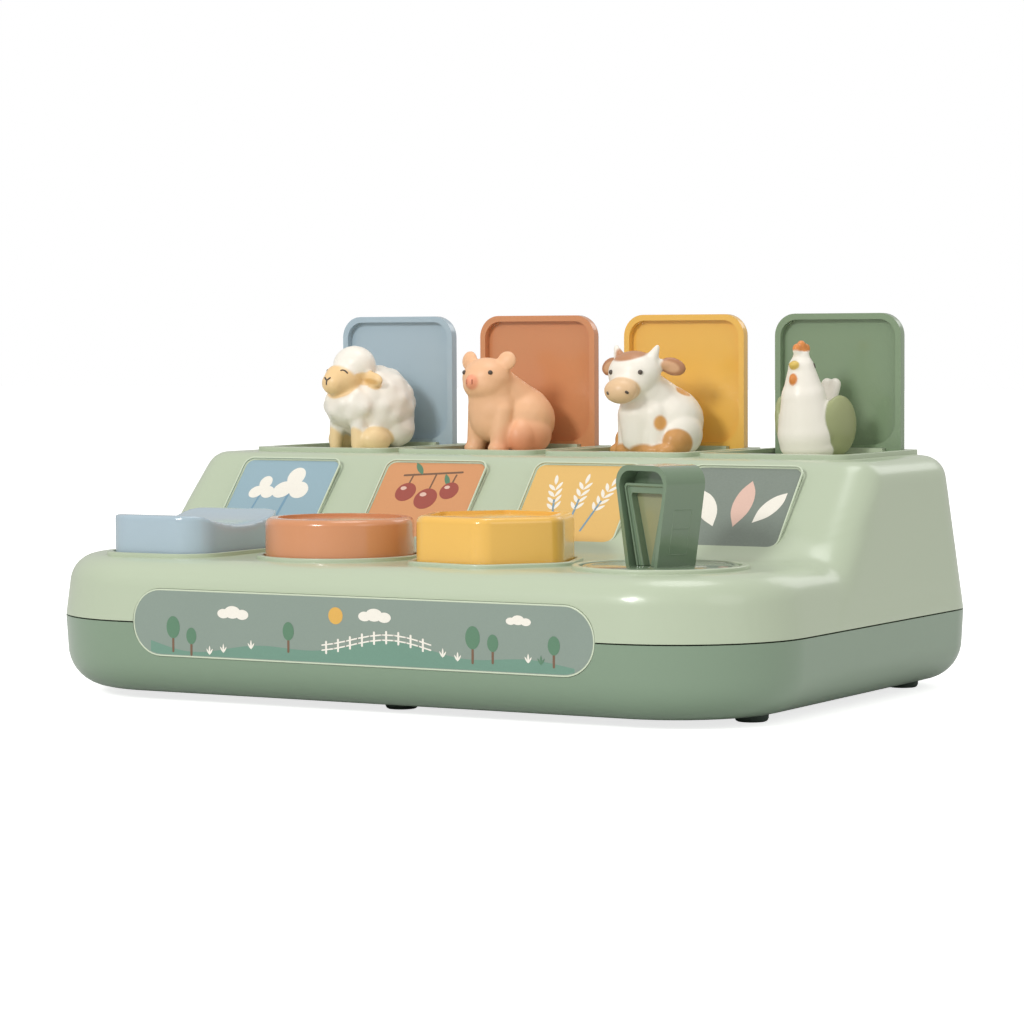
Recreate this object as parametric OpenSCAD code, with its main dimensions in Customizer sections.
// Pop up animal toy: four lids that spring open and stand an animal up,
// each let go by its own actuator (rocker, round button, hexagonal button, knob).
// Origin: on the ground, under the middle of the case. +Y points to the rear, +Z up.

/* [Case] */
// Half of the width of the case at the seam
case_half_w = 151; // [150:0.5:156]
// Front of the case at the seam
case_front = -105; // [-107:0.5:-104]
// Rear of the case at the seam
case_rear = 105; // [103:0.5:108]
// Plan radius of the front corners
front_corner_r = 49; // [40:1:50]
// Plan radius of the rear corners
rear_corner_r = 28; // [24:1:34]
// Height of the seam between base and housing
seam_z = 30; // [27:0.5:32]
// Height of the deck that carries the actuators
deck_z = 52.6; // [52:0.2:54]
// Height of the flat top of the tower
tower_z = 87.5; // [87.5:0.5:90]
// Foot of the sloping face, on the deck
slope_foot_y = -22; // [-24:0.5:-20]
// Top of the sloping face
slope_top_y = 8; // [7:0.5:10]
// Moulded wall thickness
wall = 2.5; // [2:0.1:3]

/* [Columns] */
// Distance between neighbouring columns
pitch = 66; // [65:0.5:68]
// Row of the four actuators
actuator_y = -63; // [-65:0.5:-61]

/* [Lids] */
// Half of the width of a lid
lid_half_w = 26.3; // [25:0.1:26.5]
// Top edge of an open lid
lid_top_z = 141; // [138:0.5:143]
// Inner face of an open lid
lid_inner_y = 82.8; // [82.6:0.1:83]
// Thickness of a lid over its rim
lid_t = 5; // [4.6:0.1:5]
// Upper corner radius of a lid
lid_corner_r = 8.5; // [7:0.5:10]
// Diameter of the steel rod that all lids turn on
rod_d = 3; // [2.5:0.1:3.2]
// Top of the platform that an animal stands on
platform_z = 86.5; // [86:0.1:87]

/* [Actuators] */
// Height of the rocker above the deck
rocker_h = 15.2; // [14:0.2:16]
// Middle of the rocker
rocker_y = -60; // [-61:0.5:-59]
// Radius of the round button
round_r = 27.2; // [25:0.2:28]
// Height of the round button above the deck
round_h = 14.9; // [14:0.1:16]
// Circumscribed radius of the hexagonal button
hex_r = 32.2; // [30:0.1:32.5]
// Height of the hexagonal button above the deck
hex_h = 17.4; // [16:0.1:18]
// Radius of the disc under the knob handle
disc_r = 27.6; // [27:0.1:28]
// Height of the knob handle above its disc
handle_h = 34.8; // [32:0.2:36]
// Gap between an actuator and its hole
actuator_gap = 1; // [0.9:0.1:1.1]

/* [Release shafts] */
// Height of the axis of the release shafts
shaft_z = 20; // [20:0.5:20.5]
// Distance of a release shaft from the middle of its column
shaft_x = -28; // [-28.5:0.5:-28]
// Diameter of a release shaft
shaft_d = 5; // [4.5:0.5:5]

/* [Hidden] */
$fn = 48;

eps = 0.01;
sage = [0.74, 0.79, 0.69];
dark_sage = [0.52, 0.61, 0.51];
blue = [0.66, 0.76, 0.80];
terracotta = [0.82, 0.55, 0.39];
yellow = [0.93, 0.75, 0.38];
green = [0.46, 0.56, 0.45];
steel = [0.75, 0.76, 0.78];
white = [0.97, 0.95, 0.90];
tan_plastic = [0.88, 0.72, 0.50];
peach = [0.90, 0.68, 0.55];

// Plan of the four columns
function column_x(k) = (k - 2.5) * pitch;
lid_colours = [blue, terracotta, yellow, green];

// Draft: how far the side walls and the rear wall come in by the top of the tower
side_inset = 4;
rear_inset = 9;
function rise(z) = max(0, z - seam_z) / (tower_z - seam_z);
function draft(z) = side_inset * rise(z);
function rear_draft(z) = rear_inset * rise(z);

deck_edge_r = 11;
tower_edge_r = 9;
base_edge_r = 15;
base_draft = 0.5;
base_in = wall + base_draft;
foot_h = 3;
slope_run = (slope_top_y - slope_foot_y) / (tower_z - deck_z);
slope_angle = atan2(tower_z - deck_z, slope_top_y - slope_foot_y);
slope_corner_r = 13;
function slope_y(z) = slope_foot_y + (z - deck_z) * slope_run;

// Hinge of the lids and the space they swing in
hinge_y = lid_inner_y + lid_t / 2;
hinge_z = 85.3;
knuckle_r = 2.9;
swing_r = 54;
seat_z = 82.4;
seat_front = hinge_y - (lid_top_z - hinge_z) - 1.2;
seat_rear = 88.7;
seat_half_w = lid_half_w + 0.7;
well_front = hinge_y - swing_r - 0.8;
well_half_w = 25;
well_floor_z = 56;
collar_t = 2.3;
collar_front = 7.4;
collar_h = 1.4;

rod_r = rod_d / 2;
running_gap = 0.06;
fit_gap = 0.03;

// Release gear
arm_x = -14;
arm_r = 2;
finger_y = 79;
catch_rest_drop = [3.3, 0, 0, 2.5];

label_half_w = 95.5;
label_h = 24;
label_t = 1;
label_seat = 1.2;
panel_w = 43;
panel_low_z = 58;
panel_high_z = 85;
panel_t = 0.8;

screw_spots = [[-134, -36], [134, -36], [-134, 55], [134, 55], [0, -88], [0, 90]];
foot_spots = [[-129, -53], [129, -53], [-129, 76], [129, 76], [0, -74]];

// --- Outlines -------------------------------------------------------------

function arc(cx, cy, r, a0, a1, n) =
    [for (i = [0:n]) [cx + r * cos(a0 + (a1 - a0) * i / n), cy + r * sin(a0 + (a1 - a0) * i / n)]];

function rounded_box(x0, y0, x1, y1, r_low, r_high, n = 8) = concat(
    arc(x1 - r_high, y1 - r_high, r_high, 0, 90, n),
    arc(x0 + r_high, y1 - r_high, r_high, 90, 180, n),
    arc(x0 + r_low, y0 + r_low, r_low, 180, 270, n),
    arc(x1 - r_low, y0 + r_low, r_low, 270, 360, n));

// Hexagon with two corners on the X axis, each corner rounded by r
function rounded_hexagon(rc, r, n = 4) = [
    for (k = [0:5]) for (p = arc((rc - r / cos(30)) * cos(60 * k), (rc - r / cos(30)) * sin(60 * k),
        r, 60 * k - 30, 60 * k + 30, n)) p];

// A ring of four corner rollers whose hull is one storey of the case
module corner_rollers(half_w, front, rear, r_front, r_rear, edge_r) {
    for (side = [-1, 1]) {
        translate([side * (half_w - r_front), front + r_front, -edge_r]) corner_roller(r_front, edge_r);
        translate([side * (half_w - r_rear), rear - r_rear, -edge_r]) corner_roller(r_rear, edge_r);
    }
}

module corner_roller(r, edge_r) {
    rotate_extrude($fn = 32) intersection() {
        translate([r - edge_r, 0]) circle(edge_r, $fn = 16);
        square([r, edge_r]);
    }
}

module corner_discs(half_w, front, rear, r_front, r_rear) {
    for (side = [-1, 1]) {
        translate([side * (half_w - r_front), front + r_front, 0]) cylinder(r = r_front, h = eps, $fn = 32);
        translate([side * (half_w - r_rear), rear - r_rear, 0]) cylinder(r = r_rear, h = eps, $fn = 32);
    }
}

// Outside of the upper case, or its inside when t is the wall thickness
module upper_form(t, z0) {
    deck_in = draft(deck_z) + t;
    top_in = draft(tower_z) + t;
    deck_rear = case_rear - rear_draft(deck_z) - t;
    top_rear = case_rear - rear_draft(tower_z) - t;
    slope_t = t / sin(slope_angle);
    hull() {
        translate([0, 0, z0])
            corner_discs(case_half_w - t, case_front + t, case_rear - t, front_corner_r - t, rear_corner_r - t);
        translate([0, 0, deck_z - t])
            corner_rollers(case_half_w - deck_in, case_front + 0.6 + t, deck_rear,
                front_corner_r - t, rear_corner_r - t, deck_edge_r - t);
    }
    hull() {
        translate([0, 0, z0])
            corner_discs(case_half_w - t, slope_y(z0) + slope_t, case_rear - t, slope_corner_r, rear_corner_r - t);
        translate([0, 0, tower_z - t])
            corner_rollers(case_half_w - top_in, slope_top_y + slope_t - 1.5, top_rear,
                slope_corner_r - 1, rear_corner_r - 2 - t, tower_edge_r - t);
    }
}

// --- Case -----------------------------------------------------------------

module base_shell() {
    color(dark_sage) {
        difference() {
            hull() {
                translate([0, 0, seam_z - 0.5])
                    corner_discs(case_half_w, case_front, case_rear, front_corner_r, rear_corner_r);
                translate([0, 0, foot_h]) mirror([0, 0, 1])
                    corner_rollers(case_half_w - base_draft, case_front + base_draft, case_rear - base_draft,
                        front_corner_r, rear_corner_r, base_edge_r);
            }
            hull() {
                translate([0, 0, seam_z + 1])
                    corner_discs(case_half_w - wall, case_front + wall, case_rear - wall,
                        front_corner_r - wall, rear_corner_r - wall);
                translate([0, 0, foot_h + wall]) mirror([0, 0, 1])
                    corner_rollers(case_half_w - base_in, case_front + base_in, case_rear - base_in,
                        front_corner_r - wall, rear_corner_r - wall, base_edge_r - wall);
            }
            label_recess();
            for (p = screw_spots) translate([p[0], p[1], 0]) {
                cylinder(r = 1.7, h = 20);
                cylinder(r = 3.6, h = foot_h + 1.6);
            }
            for (p = foot_spots) translate([p[0], p[1], 0]) cylinder(r = 2.05, h = foot_h + 1.6);
        }
        for (p = screw_spots) translate([p[0], p[1], foot_h + wall - 0.3]) difference() {
            cylinder(r = 5, h = 3);
            translate([0, 0, -1]) cylinder(r = 1.7, h = 6);
        }
        for (k = [1:4]) shaft_bearings(column_x(k) + shaft_x);
        for (k = [2, 3]) button_pedestal(column_x(k));
    }
}

// Two posts that carry a release shaft
module shaft_bearings(x) {
    for (y = [-20, 45]) difference() {
        translate([x - 5, y - 3, foot_h + wall - 0.3]) cube([10, 6, 20.5]);
        translate([x, y - 5, shaft_z]) rotate([-90, 0, 0]) cylinder(r = shaft_d / 2 + running_gap, h = 10);
    }
}

pedestal_z = 22;
guide_z = 34;
stem_r = 4;

// Spring seat with the tube that guides the stem of a push button
module button_pedestal(x) {
    translate([x, actuator_y, foot_h + wall - 0.3]) difference() {
        union() {
            cylinder(r = 8.2, h = pedestal_z - foot_h - wall + 0.3);
            cylinder(r = 6, h = guide_z - foot_h - wall + 0.3);
        }
        translate([0, 0, 6]) cylinder(r = stem_r + running_gap, h = 40);
    }
}

module label_recess() {
    translate([0, case_front + label_seat, seam_z]) rotate([90, 0, 0])
        label_plate(label_half_w + 0.4, label_h / 2 + 0.4, 5);
}

module label_plate(half_w, r, t) {
    linear_extrude(t) {
        translate([-(half_w - r), -r]) square([2 * (half_w - r), 2 * r]);
        for (side = [-1, 1]) translate([side * (half_w - r), 0]) circle(r);
    }
}

module front_label() {
    color([0.60, 0.67, 0.62])
        translate([0, case_front + label_seat, seam_z]) rotate([90, 0, 0])
            label_plate(label_half_w, label_h / 2, label_t);
}

// Outlines of the four actuators, g larger all round
module actuator_outline(k, g) {
    if (k == 1) polygon(rounded_box(-21.4 - g, -30 - g, 21.4 + g, 30 + g, 12 + g, 12 + g, 6));
    if (k == 2) circle(round_r + g, $fn = 96);
    if (k == 3) polygon(rounded_hexagon(hex_r + g / cos(30), 12 + g));
    if (k == 4) circle(disc_r + g, $fn = 96);
}

module on_column(k) {
    translate([column_x(k), k == 1 ? rocker_y : actuator_y, 0]) children();
}

module upper_housing() {
    color(sage) difference() {
        union() {
            difference() {
                upper_form(0, seam_z);
                upper_form(wall, seam_z - 1);
            }
            slope_fillet();
            for (k = [1:4]) on_column(k) translate([0, 0, deck_z - 1])
                linear_extrude(2.4) actuator_outline(k, actuator_gap + 2.2);
            for (k = [1:4]) translate([column_x(k), 0, 0]) well_walls();
            for (p = screw_spots) translate([p[0], p[1], 0]) screw_boss(p);
            on_column(4) translate([0, 0, deck_z - 12]) cylinder(r = 11, h = 11);
            for (side = [-1, 1]) on_column(1) translate([side * 25.9 - 1.5, -5, 42]) cube([3, 10, 10.5]);
            base_lip();
        }
        for (k = [1:3]) on_column(k) translate([0, 0, deck_z - 5])
            linear_extrude(10) actuator_outline(k, actuator_gap);
        on_column(4) translate([0, 0, disc_low_z - 0.2]) linear_extrude(4) actuator_outline(4, 0.7);
        on_column(4) translate([0, 0, deck_z - 14]) cylinder(r = 8 + running_gap, h = 20);
        for (k = [1:4]) translate([column_x(k), 0, 0]) well_hollow();
        for (k = [1:4]) panel_recess(k);
        label_recess();
        translate([-132, hinge_y, hinge_z]) rotate([0, 90, 0]) cylinder(r = rod_r + fit_gap, h = 264);
        on_column(1) translate([-30, 0, 46.5]) rotate([0, 90, 0]) cylinder(r = rod_r + fit_gap, h = 60);
        for (p = screw_spots) translate([p[0], p[1], 0]) cylinder(r = 1.5, h = 24);
    }
}

// Concave blend where the sloping face meets the deck
module slope_fillet() {
    blend_r = 16;
    reach = blend_r * tan(slope_angle / 2);
    cy = slope_foot_y - reach;
    translate([-136, 0, 0]) rotate([90, 0, 90]) linear_extrude(272)
        polygon(concat([[slope_foot_y + 1.6, deck_z - 0.6]],
            arc(cy, deck_z + blend_r, blend_r, 270 + slope_angle, 270, 6)));
}

// Walls of one well, with the raised collar round its mouth
module well_walls() {
    outer_w = seat_half_w + collar_t;
    front = seat_front - collar_front;
    rear = seat_rear + collar_t;
    translate([0, 0, seat_z - 4]) linear_extrude(tower_z + collar_h - seat_z + 4)
        polygon(rounded_box(-outer_w, front, outer_w, rear, 8, 3, 6));
    translate([0, 0, well_floor_z]) linear_extrude(seat_z - well_floor_z)
        polygon(rounded_box(-well_half_w - 2.2, well_front - 2.2, well_half_w + 2.2, rear, 3, 3, 4));
}

module well_hollow() {
    translate([0, 0, seat_z]) linear_extrude(20)
        polygon(rounded_box(-seat_half_w, seat_front, seat_half_w, seat_rear, 5, 1, 6));
    translate([0, 0, well_floor_z - 1]) linear_extrude(40)
        polygon(rounded_box(-well_half_w, well_front, well_half_w, seat_rear, 2, 1, 4));
}

// Screw post of the housing; the rear ones hang on a rib from the nearest wall
module screw_boss(p) {
    top = p[1] > 0 ? 68 : deck_z - wall + 0.5;
    translate([0, 0, 8.2]) cylinder(r = p[0] == 0 ? 3.4 : 4, h = top - 8.2);
    if (p[1] > 0 && p[0] == 0) translate([-9, -1, well_floor_z + 1]) cube([18, 2, 10]);
    if (p[1] > 0 && p[0] != 0) translate([p[0] > 0 ? 2 : -13.6, -1, 44]) cube([11.6, 2, 22]);
}

// Lip that centres the housing in the base
module base_lip() {
    lip = wall + 0.3;
    translate([0, 0, seam_z - 3]) linear_extrude(3.3) difference() {
        case_outline(lip);
        case_outline(lip + 1.5);
    }
    translate([0, 0, seam_z]) linear_extrude(2) difference() {
        case_outline(wall - 0.6);
        case_outline(lip + 1.5);
    }
}

module case_outline(t) {
    polygon(concat(
        arc(case_half_w - front_corner_r, case_front + front_corner_r, front_corner_r - t, 270, 360, 8),
        arc(case_half_w - rear_corner_r, case_rear - rear_corner_r, rear_corner_r - t, 0, 90, 8),
        arc(rear_corner_r - case_half_w, case_rear - rear_corner_r, rear_corner_r - t, 90, 180, 8),
        arc(front_corner_r - case_half_w, case_front + front_corner_r, front_corner_r - t, 180, 270, 8)));
}

// Local frame of a picture on the sloping face: X across, Y up the slope, Z outwards
module on_slope(k) {
    mid_z = (panel_low_z + panel_high_z) / 2;
    translate([column_x(k), slope_y(mid_z), mid_z]) rotate([slope_angle, 0, 0]) children();
}

panel_len = (panel_high_z - panel_low_z) / sin(slope_angle);

module panel_recess(k) {
    w = panel_w / 2 + 0.5;
    h = panel_len / 2 + 0.5;
    on_slope(k) translate([0, 0, -panel_t - 0.6]) linear_extrude(4)
        polygon(rounded_box(-w, -h, w, h, 3.5, 3.5, 5));
}

module picture_panel(k, tone) {
    w = panel_w / 2;
    h = panel_len / 2;
    color(tone) on_slope(k) translate([0, 0, -panel_t - 0.6]) linear_extrude(panel_t)
        polygon(rounded_box(-w, -h, w, h, 3, 3, 5));
}

module feet() {
    color([0.30, 0.35, 0.32]) for (p = foot_spots) translate([p[0], p[1], 0]) {
        cylinder(r1 = 5.6, r2 = 6, h = 0.8);
        translate([0, 0, 0.8]) cylinder(r = 6, h = foot_h - 0.8);
        cylinder(r = 2, h = foot_h + 1.5);
    }
}

module housing_screws() {
    color(steel) for (p = screw_spots) translate([p[0], p[1], foot_h + 0.1]) difference() {
        union() {
            cylinder(r1 = 2.6, r2 = 3.2, h = 1.5);
            cylinder(r = 1.4, h = 17);
        }
        translate([-0.4, -2, -0.1]) cube([0.8, 4, 0.8]);
        translate([-2, -0.4, -0.1]) cube([4, 0.8, 0.8]);
    }
}

// --- Lids -----------------------------------------------------------------

module hinge_rod() {
    color(steel) translate([-131, hinge_y, hinge_z]) rotate([0, 90, 0]) cylinder(r = rod_r, h = 262);
}

lid_rim = 2.3;
lid_low_z = 86.3;

module lid(k) {
    inner = lid_half_w - lid_rim;
    color(lid_colours[k - 1]) translate([column_x(k), 0, 0]) difference() {
        union() {
            difference() {
                translate([0, lid_inner_y + lid_t, 0]) rotate([90, 0, 0]) linear_extrude(lid_t)
                    polygon(rounded_box(-lid_half_w, lid_low_z, lid_half_w, lid_top_z, 0.4, lid_corner_r, 8));
                translate([0, lid_inner_y + 2.2, 0]) rotate([90, 0, 0]) linear_extrude(4)
                    polygon(rounded_box(-inner, 91, inner, lid_top_z - lid_rim, 9, lid_corner_r - 1.8, 8));
            }
            for (x = [-21, 6]) translate([x, hinge_y, hinge_z]) rotate([0, 90, 0]) cylinder(r = knuckle_r, h = 15);
        }
        translate([-30, hinge_y, hinge_z]) rotate([0, 90, 0]) cylinder(r = rod_r + running_gap, h = 60);
        translate([-5.8, hinge_y - 3.4, hinge_z - 4]) cube([11.6, 6.8, 7.4]);
        for (x = [-15, 15]) translate([x, lid_inner_y + 1.7, 88.6]) rotate([90, 0, 0]) cylinder(r = 1.05, h = 4);
    }
}

// Platform that carries an animal, pegged to the lid, with the heel that the catch holds
module platform(k) {
    rear = lid_inner_y - 0.9;
    front = 36;
    half_w = 23.5;
    color(sage) translate([column_x(k), 0, 0]) difference() {
        union() {
            translate([0, 0, platform_z - 2.5]) linear_extrude(2.5)
                polygon(rounded_box(-half_w, front, half_w, rear, 5, 1, 5));
            translate([-5, hinge_y - swing_r + 0.2, platform_z - 2.5]) cube([10, 8, 2.5]);
            translate([-20, rear - 2, platform_z - 0.5]) cube([40, 2.7, 3.8]);
            for (x = [-15, 15]) translate([x, lid_inner_y + 1.5, 88.6]) rotate([90, 0, 0]) cylinder(r = 1, h = 3.4);
            for (x = [-10, 10]) translate([x - 0.8, front + 6, platform_z - 4]) cube([1.6, 34, 2]);
        }
        translate([0, animal_y, platform_z - 4]) cylinder(r = 1.7, h = 6);
    }
}

module lid_spring(k) {
    color(steel) translate([column_x(k), hinge_y, hinge_z]) rotate([0, 90, 0]) {
        difference() {
            translate([0, 0, -5]) cylinder(r = 2.6, h = 10);
            translate([0, 0, -6]) cylinder(r = 1.9, h = 12);
        }
    }
}

animal_y = 64;

module animal_screw(k) {
    color(steel) translate([column_x(k), animal_y, platform_z - 4.3]) {
        cylinder(r = 3, h = 1.7);
        cylinder(r = 1.5, h = 9);
    }
}

// --- Animals: each stands on z = 0 of its own frame and looks along -Y ------

// How far each animal is turned from looking straight ahead
facing = [-20, -20, -20, -8];

module on_platform(k) {
    translate([column_x(k), animal_y, platform_z]) rotate([0, 0, facing[k - 1]]) children();
}

// Egg-shaped swelling of the given half sizes
module swell(at, size, turn = [0, 0, 0], n = 18) {
    hull() translate(at) rotate(turn) scale(size) sphere(1, $fn = n);
}

// A limb: hull of two balls
module limb(a, ra, b, rb, n = 14) {
    hull() {
        translate(a) sphere(ra, $fn = n);
        translate(b) sphere(rb, $fn = n);
    }
}

// Cuts everything below the platform away
module standing() {
    difference() {
        children();
        translate([-40, -40, -40]) cube([80, 80, 40]);
    }
}

module sheep() {
    on_platform(1) standing() {
        color(white) {
            swell([0, 3, 18], [17.5, 16, 16.5], n = 24);
            swell([0, -9, 15], [13.5, 10, 10]);
            swell([0, -7, 33.5], [11.5, 9.5, 8.5]);
        }
        color(tan_plastic) {
            swell([0, -16, 26.5], [8.5, 7.5, 8.5], [-20, 0, 0]);
            for (side = [-1, 1]) {
                swell([side * 13, -8, 28], [6.5, 3, 3.4], [0, side * 15, 0], 12);
                limb([side * 5.5, -15.5, 3.5], 4, [side * 5, -14, 10], 3.8);
                limb([side * 13.5, -9, 3.5], 4, [side * 13, 0, 6], 6);
            }
        }
    }
}

module pig() {
    on_platform(2) standing() color(peach) {
        swell([0, 2, 15], [17, 15.5, 15.5], n = 24);
        swell([0, -4, 20], [12.5, 12, 14], [25, 0, 0]);
        swell([0, -8, 31], [11.5, 11, 10]);
        limb([0, -18, 26.5], 4.4, [0, -12, 28], 7);
        for (side = [-1, 1]) {
            swell([side * 8.5, -4, 40], [4.2, 2.2, 5], [0, side * 25, 0], 12);
            limb([side * 6.5, -14, 3], 4.3, [side * 6.5, -10, 16], 5.5);
            limb([side * 14, -10, 3.5], 4, [side * 13, 2, 8], 8.5);
        }
    }
}

module cow() {
    on_platform(3) standing() {
        color(white) {
            swell([0, 3, 15], [16.5, 15, 15], n = 24);
            swell([0, -4, 20], [12.5, 12, 13], [25, 0, 0]);
            swell([0, -8.5, 31.6], [10.5, 9.5, 9.5]);
            for (side = [-1, 1]) {
                limb([side * 7, -7, 38.5], 2, [side * 9.5, -6, 41.6], 1.3, 10);
                limb([side * 6.5, -13, 4], 4.4, [side * 6.5, -9, 15], 5);
            }
        }
        color(tan_plastic) {
            swell([0, -17, 26.5], [9, 6.5, 6]);
            for (side = [-1, 1]) {
                swell([side * 14.5, -8, 34], [5.5, 2.6, 3.6], [0, side * -15, 0], 12);
                limb([side * 14.5, -9, 4], 4.3, [side * 13.5, 1, 8], 8.5);
            }
        }
    }
}

module hen() {
    on_platform(4) standing() {
        color(white) {
            swell([0, 0, 10], [14.5, 15, 14], n = 24);
            swell([0, -1, 20], [11.5, 12, 15], n = 20);
            limb([0, -2, 24], 9, [0, -4, 35], 7, 18);
            for (x = [-3, 0, 3]) limb([x, 9, 20], 3.5, [x * 1.3, 15, 27], 2.4, 12);
        }
        color(green) for (side = [-1, 1]) hull() {
            translate([side * 11, 2, 19]) rotate([0, side * 18, 0]) scale([4, 9, 8]) sphere(1, $fn = 16);
            translate([side * 11.5, 13, 14]) sphere(2.2, $fn = 10);
        }
        color(terracotta) {
            for (y = [-3, 0, 3]) swell([0, y - 4, 42 - abs(y) * 0.3], [1.8, 2.2, 2.6], n = 10);
            swell([0, -12, 28], [1.9, 1.7, 2.4], n = 10);
        }
        color(yellow) limb([0, -13.5, 34], 1, [0, -9, 34.5], 2.6, 10);
    }
}

// --- Actuators ------------------------------------------------------------

// Fork that takes the tip of a release arm, hung from z_top. Local x = 0 is the column
module release_fork(y, z_top, slot) {
    translate([arm_x + 2.8, y - 3.5, shaft_z - slot / 2 - 2.5]) cube([2.2, 7, z_top - shaft_z + slot / 2 + 2.5]);
    for (z = [shaft_z - slot / 2 - 2.5, shaft_z + slot / 2])
        translate([arm_x - 2.2, y - 3.5, z]) cube([6, 7, 2.5]);
}

rocker_pivot_z = 46.5;
rocker_low_z = 43;

module rocker_button() {
    top = deck_z + rocker_h;
    dish_r = 76;
    dish_depth = 4.2;
    color(blue) on_column(1) {
        difference() {
            translate([0, 0, rocker_low_z]) linear_extrude(top - rocker_low_z) actuator_outline(1, 0);
            translate([0, 0, rocker_low_z - 1]) linear_extrude(top - rocker_low_z - 6) actuator_outline(1, -2.5);
            translate([-40, 0, top + dish_r - dish_depth]) rotate([0, 90, 0]) cylinder(r = dish_r, h = 80, $fn = 160);
            translate([-30, 0, rocker_pivot_z]) rotate([0, 90, 0]) cylinder(r = rod_r + running_gap, h = 60);
        }
        release_fork(-18, top - 6.5, 5);
    }
}

module rocker_pin() {
    color(steel) on_column(1) translate([-27.3, 0, rocker_pivot_z]) rotate([0, 90, 0])
        cylinder(r = rod_r, h = 54.6);
}

module rocker_spring() {
    color(steel) on_column(1) translate([0, 0, rocker_pivot_z]) rotate([0, 90, 0]) difference() {
        cylinder(r = 2.8, h = 14);
        translate([0, 0, -1]) cylinder(r = 2, h = 16);
    }
}

button_skirt_z = 47.2;

// Cap of a push button with its skirt, flange, spring boss, stem and fork
module push_button(k, h) {
    top = deck_z + h;
    on_column(k) {
        difference() {
            union() {
                translate([0, 0, button_skirt_z]) linear_extrude(top - button_skirt_z - 1.5) actuator_outline(k, 0);
                translate([0, 0, top - 1.5 - eps]) linear_extrude(0.9) actuator_outline(k, -0.5);
                translate([0, 0, top - 0.6 - 2 * eps]) linear_extrude(0.6) actuator_outline(k, -1.3);
                translate([0, 0, button_skirt_z]) linear_extrude(2.4) actuator_outline(k, 2);
            }
            translate([0, 0, button_skirt_z - 1]) linear_extrude(top - button_skirt_z - 3.5) actuator_outline(k, -2.5);
            translate([0, 0, top - 1.2]) linear_extrude(3) actuator_outline(k, -3.8);
        }
        translate([0, 0, 44]) difference() {
            cylinder(r = 8.6, h = top - 46);
            translate([0, 0, -1]) cylinder(r = 6.4, h = 8);
        }
        translate([0, 0, 24]) cylinder(r = stem_r, h = top - 26);
        release_fork(0, top - 3, 4.5);
    }
}

module round_button() {
    color(terracotta) push_button(2, round_h);
}

module hex_button() {
    color(yellow) push_button(3, hex_h);
}

module button_spring(k) {
    color(steel) on_column(k) translate([0, 0, pedestal_z]) difference() {
        cylinder(r = 8, h = 44 - pedestal_z);
        translate([0, 0, -1]) cylinder(r = 6.6, h = 30);
    }
}

disc_low_z = deck_z - 0.7;
disc_top_z = deck_z + 1;
handle_foot_z = disc_top_z;
knob_turn = -20;
knob_range = [-70, 20];
knob_ratio = -0.2374;
cam_clearance = 1.2;

// Fall of the release arm for a turn of the knob
function arm_fall(turn) = -arm_x * sin(knob_ratio * min(max(turn, knob_range[0]), knob_range[1]));

module knob_disc() {
    color(green) on_column(4) {
        difference() {
            union() {
                translate([0, 0, disc_low_z]) cylinder(r = disc_r, h = 1.2);
                translate([0, 0, disc_low_z + 1.2]) cylinder(r1 = disc_r, r2 = disc_r - 0.5, h = 0.5);
                translate([0, 0, 39]) cylinder(r = 8, h = 14);
                translate([0, 0, 37]) cylinder(r = 17, h = 3);
            }
            translate([0, 0, 36]) cylinder(r = 1.6, h = 30);
            translate([0, 0, 36]) cylinder(r = 3.6, h = 14);
        }
        cam_skirt();
    }
}

// Skirt under the knob whose stepped lower edge presses the release arm down as it turns
module cam_skirt() {
    step = 12;
    first = 180 - knob_range[1] - 12;
    count = ceil((knob_range[1] - knob_range[0] + 24) / step);
    last = first + count * step;
    difference() {
        translate([0, 0, cam_low(last)]) linear_extrude(38 - cam_low(last))
            polygon(ring_sector(11.5, 16.5, first, last));
        for (i = [0:count - 2]) linear_extrude(cam_low(first + (i + 0.5) * step))
            polygon(ring_sector(10, 18, first - 8, first + (i + 1) * step));
    }
}

// Lower edge of the cam where it stands at this angle of the knob
function cam_low(at) = shaft_z + arm_r + cam_clearance - arm_fall(180 - at);

function ring_sector(r0, r1, a0, a1) = concat(arc(0, 0, r1, a0, a1, 12), arc(0, 0, r0, a1, a0, 12));

// Outline of the handle seen from its end: a wedge that stands on its narrow side
function handle_outline(g, low = 0) = let (w0 = 8 - g, w1 = 14.2 - g, h = handle_h - g, r = 4.5 - g / 2) concat(
    arc(w1 - r, h - r, r, 0, 90, 6),
    arc(r - w1, h - r, r, 90, 180, 6),
    [[-w0, low], [w0, low]]);

module on_knob() {
    on_column(4) translate([0, 0, handle_foot_z]) rotate([0, 0, knob_turn]) children();
}

module knob_handle() {
    color(green) on_knob() difference() {
        translate([0, 9, 0]) rotate([90, 0, 0]) linear_extrude(18) polygon(handle_outline(0));
        for (end = [0, 1]) mirror([0, end, 0]) translate([0, -5, 0]) rotate([90, 0, 0])
            linear_extrude(5) polygon(handle_outline(2.4, -1));
        translate([0, 0, -1]) cylinder(r = 1.3, h = 15);
    }
}

// Panels set into the two hollow ends of the handle
module knob_insert() {
    color(green) on_knob() for (end = [0, 1]) mirror([0, end, 0])
        translate([0, -5, 0]) rotate([90, 0, 0]) difference() {
            linear_extrude(3.2) polygon(handle_outline(4));
            translate([0, 0, 1]) linear_extrude(5) polygon(handle_outline(5.6, -1));
        }
}

module knob_screw() {
    color(steel) on_column(4) translate([0, 0, 47.8]) {
        cylinder(r = 3.2, h = 2.1);
        cylinder(r = 1.25, h = 18);
    }
}

// --- Release shafts -------------------------------------------------------

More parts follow.
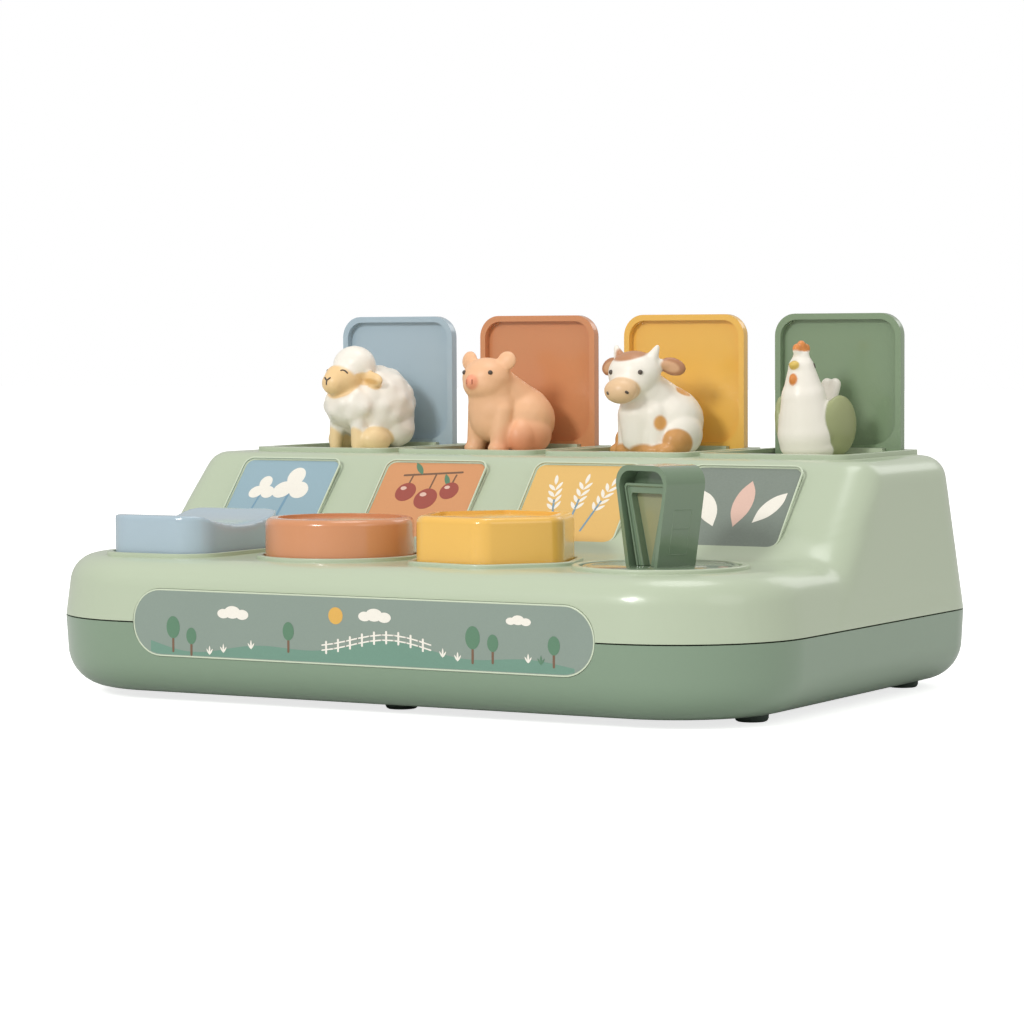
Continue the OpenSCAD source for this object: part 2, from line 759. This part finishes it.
module release_shaft(k) {
    arm_at_y = k == 1 ? rocker_y - 18 : actuator_y;
    tooth_z = hinge_z - swing_r - 0.3 - catch_rest_drop[k - 1];
    reach = -shaft_x;
    color(sage) translate([column_x(k) + shaft_x, 0, shaft_z]) {
        translate([0, arm_at_y - 5, 0]) rotate([-90, 0, 0]) cylinder(r = shaft_d / 2, h = 84 - arm_at_y);
        translate([0, arm_at_y - 3, -1.2]) cube([reach + arm_x, 6, 2.4]);
        translate([reach + arm_x, arm_at_y - 3, 0]) rotate([-90, 0, 0]) cylinder(r = arm_r, h = 6);
        translate([0, arm_at_y, 0]) rotate([-90, 0, 0]) cylinder(r = 4, h = 6, center = true);
        translate([0, finger_y - 3.5, -1.5]) cube([reach + 4, 5, 3]);
        translate([0, finger_y - 1, 0]) rotate([-90, 0, 0]) cylinder(r = 4, h = 5, center = true);
        translate([reach - 4, finger_y - 3.5, 0]) rotate([90, 0, 90]) linear_extrude(8)
            polygon([[0, 0], [5, 0], [5, tooth_z - shaft_z - 2.5], [3.5, tooth_z - shaft_z],
                [1.5, tooth_z - shaft_z], [0, tooth_z - shaft_z - 4]]);
    }
}

base_shell();
upper_housing();
feet();
housing_screws();
front_label();
picture_panel(1, [0.59, 0.71, 0.77]);  // picture_panel_1
picture_panel(2, [0.85, 0.57, 0.37]);  // picture_panel_2
picture_panel(3, [0.89, 0.73, 0.42]);  // picture_panel_3
picture_panel(4, [0.48, 0.54, 0.51]);  // picture_panel_4
hinge_rod();
lid(1);  // lid_1
lid(2);  // lid_2
lid(3);  // lid_3
lid(4);  // lid_4
platform(1);  // platform_1
platform(2);  // platform_2
platform(3);  // platform_3
platform(4);  // platform_4
sheep();
pig();
cow();
hen();
animal_screw(1);  // animal_screw_1
animal_screw(2);  // animal_screw_2
animal_screw(3);  // animal_screw_3
animal_screw(4);  // animal_screw_4
lid_spring(1);  // lid_spring_1
lid_spring(2);  // lid_spring_2
lid_spring(3);  // lid_spring_3
lid_spring(4);  // lid_spring_4
rocker_button();
rocker_pin();
rocker_spring();
round_button();
button_spring(2);  // round_button_spring
hex_button();
button_spring(3);  // hex_button_spring
knob_disc();
knob_handle();
knob_insert();
knob_screw();
release_shaft(1);  // release_shaft_1
release_shaft(2);  // release_shaft_2
release_shaft(3);  // release_shaft_3
release_shaft(4);  // release_shaft_4
